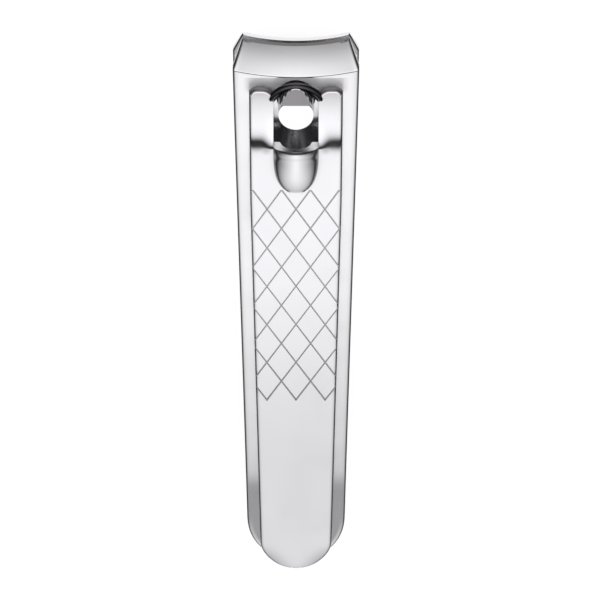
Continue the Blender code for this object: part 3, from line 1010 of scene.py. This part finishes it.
def steel(name, colour, clean, smudged, grain_size, stretch, bump, shade_amount,
          tail_shade_factor=0.72, metallic=1.0):
    """Steel with roughness from clean to smudged, painted shade where pieces nearly touch, and painted shade
    that makes it darker towards the tail by the given factor.
    """
    material = bpy.data.materials.get(name) or bpy.data.materials.new(name)
    material.use_nodes = True
    tree = material.node_tree
    shader = tree.nodes["Principled BSDF"]
    shader.inputs["Metallic"].default_value = metallic

    grain = add(tree, "ShaderNodeGroup", node_tree=polish_grain, in_Grain_size=grain_size, in_Stretch=stretch)
    relief = add(tree, "ShaderNodeBump", in_Strength=bump, in_Distance=0.02 * MM)
    link(tree, grain.outputs["Height"], relief.inputs["Height"])
    link(tree, relief.outputs[0], shader.inputs["Normal"])

    wiped = add(tree, "ShaderNodeGroup", node_tree=smudges)
    wiped.inputs["Clean roughness"].default_value = clean
    wiped.inputs["Smudged roughness"].default_value = smudged
    link(tree, wiped.outputs["Roughness"], shader.inputs["Roughness"])

    # Painted shade: the colour gets darker towards the tail.
    end = add(tree, "ShaderNodeGroup", node_tree=tail_shade)
    end.inputs["New"].default_value = (*colour, 1)
    end.inputs["Shaded"].default_value = (*(part * tail_shade_factor for part in colour), 1)
    # Painted shade: the colour gets darker where pieces nearly touch.
    crevice_shaded = add(tree, "ShaderNodeGroup", node_tree=crevice_shade, in_Amount=shade_amount)
    link(tree, end.outputs["Colour"], crevice_shaded.inputs["Steel"])
    link(tree, crevice_shaded.outputs["Colour"], shader.inputs["Base Color"])
    return material


# The last number of the leaf and lever steels sets how far the painted shade darkens them at the tail.
leaf_polish = steel("leaf_polish", (0.83, 0.825, 0.84), 0.15, 0.20, 9000, 0.03, 0.10, 0.5, 0.80)
steel("lever_polish", (0.81, 0.805, 0.825), 0.12, 0.18, 9000, 0.03, 0.08, 0.5, 0.77)
steel("groove_wall", (0.80, 0.79, 0.80), 0.40, 0.50, 12000, 0.2, 0.20, 0.3, metallic=0.65)
# Painted shade: the blanked lobe fronts are dark, standing in for the dark reflection they show; their higher
# roughness is the real duller blanked steel.
shaded_blanked_edge = steel("shaded_blanked_edge", (0.24, 0.22, 0.23), 0.30, 0.40, 14000, 1.0, 0.20, 0.3)
# Painted shade: the crossbar's near-black colour stands in for the dark reflections and shade on the bar.
steel("shaded_hook_bar", (0.075, 0.07, 0.075), 0.16, 0.24, 9000, 0.2, 0.10, 0.3)
# Painted shade: the milled facet's darker colour stands in for the dark reflection it shows; its roughness is
# the real milled finish.
steel("shaded_milled_face", (0.30, 0.29, 0.30), 0.26, 0.34, 9000, 0.2, 0.20, 0.3)
# Painted shade: the ground cutting face is near black, standing in for the dark reflection on it; its higher
# roughness is the real ground finish.
shaded_ground_face = steel("shaded_ground_face", (0.12, 0.11, 0.11), 0.30, 0.40, 14000, 1.0, 0.20, 0.3)
# Painted shade: the jaws' inner sides are darker, standing in for the shade between the open jaws.
shaded_inner_face = steel("shaded_inner_face", (0.55, 0.54, 0.54), 0.30, 0.40, 14000, 1.0, 0.20, 0.3)
steel("plated_pin", (0.86, 0.86, 0.87), 0.10, 0.16, 6000, 1.0, 0.05, 0.3)
rivet_head = steel("rivet_head", (0.72, 0.72, 0.74), 0.2, 0.3, 8000, 1.0, 0.1, 0.4)

# %% [markdown]
# ## The satin front of the leaves
# Between the pin and the crease the leaves get a matter, brushed zone, so that the upper one does not
# mirror the lever's lobes. The group below turns the place on a leaf into two values: less metallic
# and rougher inside the zone, full polish at the sides and everywhere else. Both feed the shader.

# %% Give the leaves their satin front
SATIN_BACK = 0.2
SATIN_FULL = 1.3
SATIN_EDGE = 5.4
SATIN_EDGE_FADE = 1
SATIN_FRONT = CREASE - 0.1
SATIN_METALLIC = 0.45
SATIN_ROUGHNESS = 0.35

satin, satin_in, satin_out = new_group(
    "satin_front", [("Polished roughness", FLOAT, 0.2)], [("Metallic", FLOAT), ("Roughness", FLOAT)])
satin_place = add(satin, "ShaderNodeSeparateXYZ")
link(satin, add(satin, "ShaderNodeTexCoord").outputs["Object"], satin_place.inputs[0])
behind = add(satin, "ShaderNodeMapRange", interpolation_type="SMOOTHSTEP",
             in_1=place(0, SATIN_BACK, 0).y, in_2=place(0, SATIN_FULL, 0).y)
link(satin, satin_place.outputs["Y"], behind.inputs[0])
ahead = math_node(satin, "LESS_THAN", satin_place.outputs["Y"], place(0, SATIN_FRONT, 0).y)
along_share = math_node(satin, "MULTIPLY", behind.outputs[0], ahead)
aside = add(satin, "ShaderNodeMapRange", interpolation_type="SMOOTHSTEP",
            in_1=(SATIN_EDGE - SATIN_EDGE_FADE) * MM, in_2=SATIN_EDGE * MM, in_3=1.0, in_4=0.0)
link(satin, math_node(satin, "ABSOLUTE", satin_place.outputs["X"]), aside.inputs[0])
share = math_node(satin, "MULTIPLY", along_share, aside.outputs[0])
metal = add(satin, "ShaderNodeMapRange", in_3=1.0, in_4=SATIN_METALLIC)
link(satin, share, metal.inputs[0])
link(satin, metal.outputs[0], satin_out.inputs["Metallic"])
matter = add(satin, "ShaderNodeMapRange", in_4=SATIN_ROUGHNESS)
link(satin, share, matter.inputs[0])
link(satin, satin_in.outputs["Polished roughness"], matter.inputs[3])
link(satin, matter.outputs[0], satin_out.inputs["Roughness"])

leaf_tree = leaf_polish.node_tree
leaf_shader = leaf_tree.nodes["Principled BSDF"]
front = add(leaf_tree, "ShaderNodeGroup", node_tree=satin)
link(leaf_tree, leaf_shader.inputs["Roughness"].links[0].from_socket, front.inputs["Polished roughness"])
link(leaf_tree, front.outputs["Roughness"], leaf_shader.inputs["Roughness"])
link(leaf_tree, front.outputs["Metallic"], leaf_shader.inputs["Metallic"])
print("satin from reach", SATIN_BACK, "to", round(CREASE, 2), "mm")

# %% [markdown]
# ## Finishes on the pieces
# Each piece takes its steel. Faces that a tool has left duller, whose darker colour is painted shade,
# are found by their place and normal: the upper jaw's ground cutting face points ahead, the inner sides
# of the jaws point back and inwards, and the blanked front edges of the lever's lobes point ahead.

# %% Assign the finishes
for item, material in ((upper_leaf, leaf_polish), (lower_leaf, leaf_polish), (rivet, rivet_head)):
    item.data.materials.clear()
    item.data.materials.append(material)

FACES_AHEAD = 0.75
FACES_INWARDS = 0.3
FACES_BACK = 0.2
LOBE_DEPTH = 1.2
FACES_BLANKED = 0.35
front_y = place(0, EDGE - 0.1, 0).y
jaw_y = place(0, CREASE + 0.3, 0).y


# Slots 1 and 2 take dark steels whose colour is painted shade.
def jaw_shade_slot(face, leaf):
    """1 on the upper jaw's cutting face, 2 on the inner side of either jaw, 0 elsewhere."""
    if leaf == upper_leaf and face.center.y > front_y and face.normal.y > FACES_AHEAD:
        return 1
    inwards = -face.normal.z if leaf == upper_leaf else face.normal.z
    is_inner = face.center.y > jaw_y and inwards > FACES_INWARDS and face.normal.y < -FACES_BACK
    return 2 if is_inner else 0


# Painted shade: the upper jaw's cutting face and the jaws' inner sides take darkened steels.
for leaf in (upper_leaf, lower_leaf):
    leaf.data.materials.append(shaded_ground_face)
    leaf.data.materials.append(shaded_inner_face)
    for face in leaf.data.polygons:
        face.material_index = jaw_shade_slot(face, leaf)
    ground = [face for face in leaf.data.polygons if face.material_index]
    print(leaf.name, "has", len(ground), "ground faces")

# Painted shade: the lobes' blanked front faces take a darkened steel.
lobe_y = place(0, LOBE_END - LOBE_DEPTH, 0).y
lever_slots = [material.name for material in lever.data.materials]
lever.data.materials.append(shaded_blanked_edge)
blanked = [face for face in lever.data.polygons
           if lever_slots[face.material_index] == "lever_polish"
           and face.center.y > lobe_y and face.normal.y > FACES_BLANKED]
for face in blanked:
    face.material_index = len(lever_slots)
print("lever has", len(blanked), "blanked edge faces")

# %% [markdown]
# ## The floor
# A plain pale sheet, large enough to run past every side of the view. Mirror-like rays that meet it
# beside the clipper find black card, which darkens the low sides of the polished steel.

# %% Lay the floor
bpy.ops.object.select_all(action="DESELECT")
bpy.ops.mesh.primitive_plane_add(size=4, location=(0, 0, 0))
floor = bpy.context.object
floor.name = "floor"
CARD_START = 6.5
CARD_FULL = 9
CARD_LIGHT = 0.02
paper = bpy.data.materials.new("pale_paper")
paper.use_nodes = True
paper_tree = paper.node_tree
paper_shader = paper_tree.nodes["Principled BSDF"]
paper_shader.inputs["Base Color"].default_value = (0.25, 0.25, 0.25, 1)
paper_shader.inputs["Emission Color"].default_value = (1, 1, 1, 1)
paper_shader.inputs["Emission Strength"].default_value = 0.81
paper_shader.inputs["Roughness"].default_value = 0.9
paper_shader.inputs["Specular IOR Level"].default_value = 0.0
where = add(paper_tree, "ShaderNodeTexCoord")
across = add(paper_tree, "ShaderNodeSeparateXYZ")
link(paper_tree, where.outputs["Object"], across.inputs[0])
beside = math_node(paper_tree, "ABSOLUTE", across.outputs["X"])
card = add(paper_tree, "ShaderNodeMapRange", interpolation_type="SMOOTHSTEP",
           in_1=CARD_START * MM, in_2=CARD_FULL * MM)
link(paper_tree, beside, card.inputs[0])
paper_ray = add(paper_tree, "ShaderNodeLightPath")
mirrored = math_node(paper_tree, "MULTIPLY", card.outputs[0], paper_ray.outputs["Is Glossy Ray"])
black = add(paper_tree, "ShaderNodeEmission", in_Strength=CARD_LIGHT)
choose = add(paper_tree, "ShaderNodeMixShader")
link(paper_tree, mirrored, choose.inputs[0])
link(paper_tree, paper_shader.outputs[0], choose.inputs[1])
link(paper_tree, black.outputs[0], choose.inputs[2])
link(paper_tree, choose.outputs[0], paper_tree.nodes["Material Output"].inputs["Surface"])
floor.data.materials.append(paper)

# %% [markdown]
# ## Handing over
# Each fine piece stands for its CAD node and rides on that node's body, so it moves with the joints.

# %% Tie the pieces to the frame
for piece, node, body, slot in (
    (lower_leaf, "lower_leaf", "lower_body", "leaf_steel"),
    (upper_leaf, "upper_leaf", "upper_body", "leaf_steel"),
    (rivet, "tail_rivet", "lower_body", "rivet_steel"),
    (pin, "pivot_pin", "pin_body", "pin_chrome"),
    (lever, "lever", "lever_body", "lever_steel"),
):
    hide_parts(node)
    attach(piece, body)
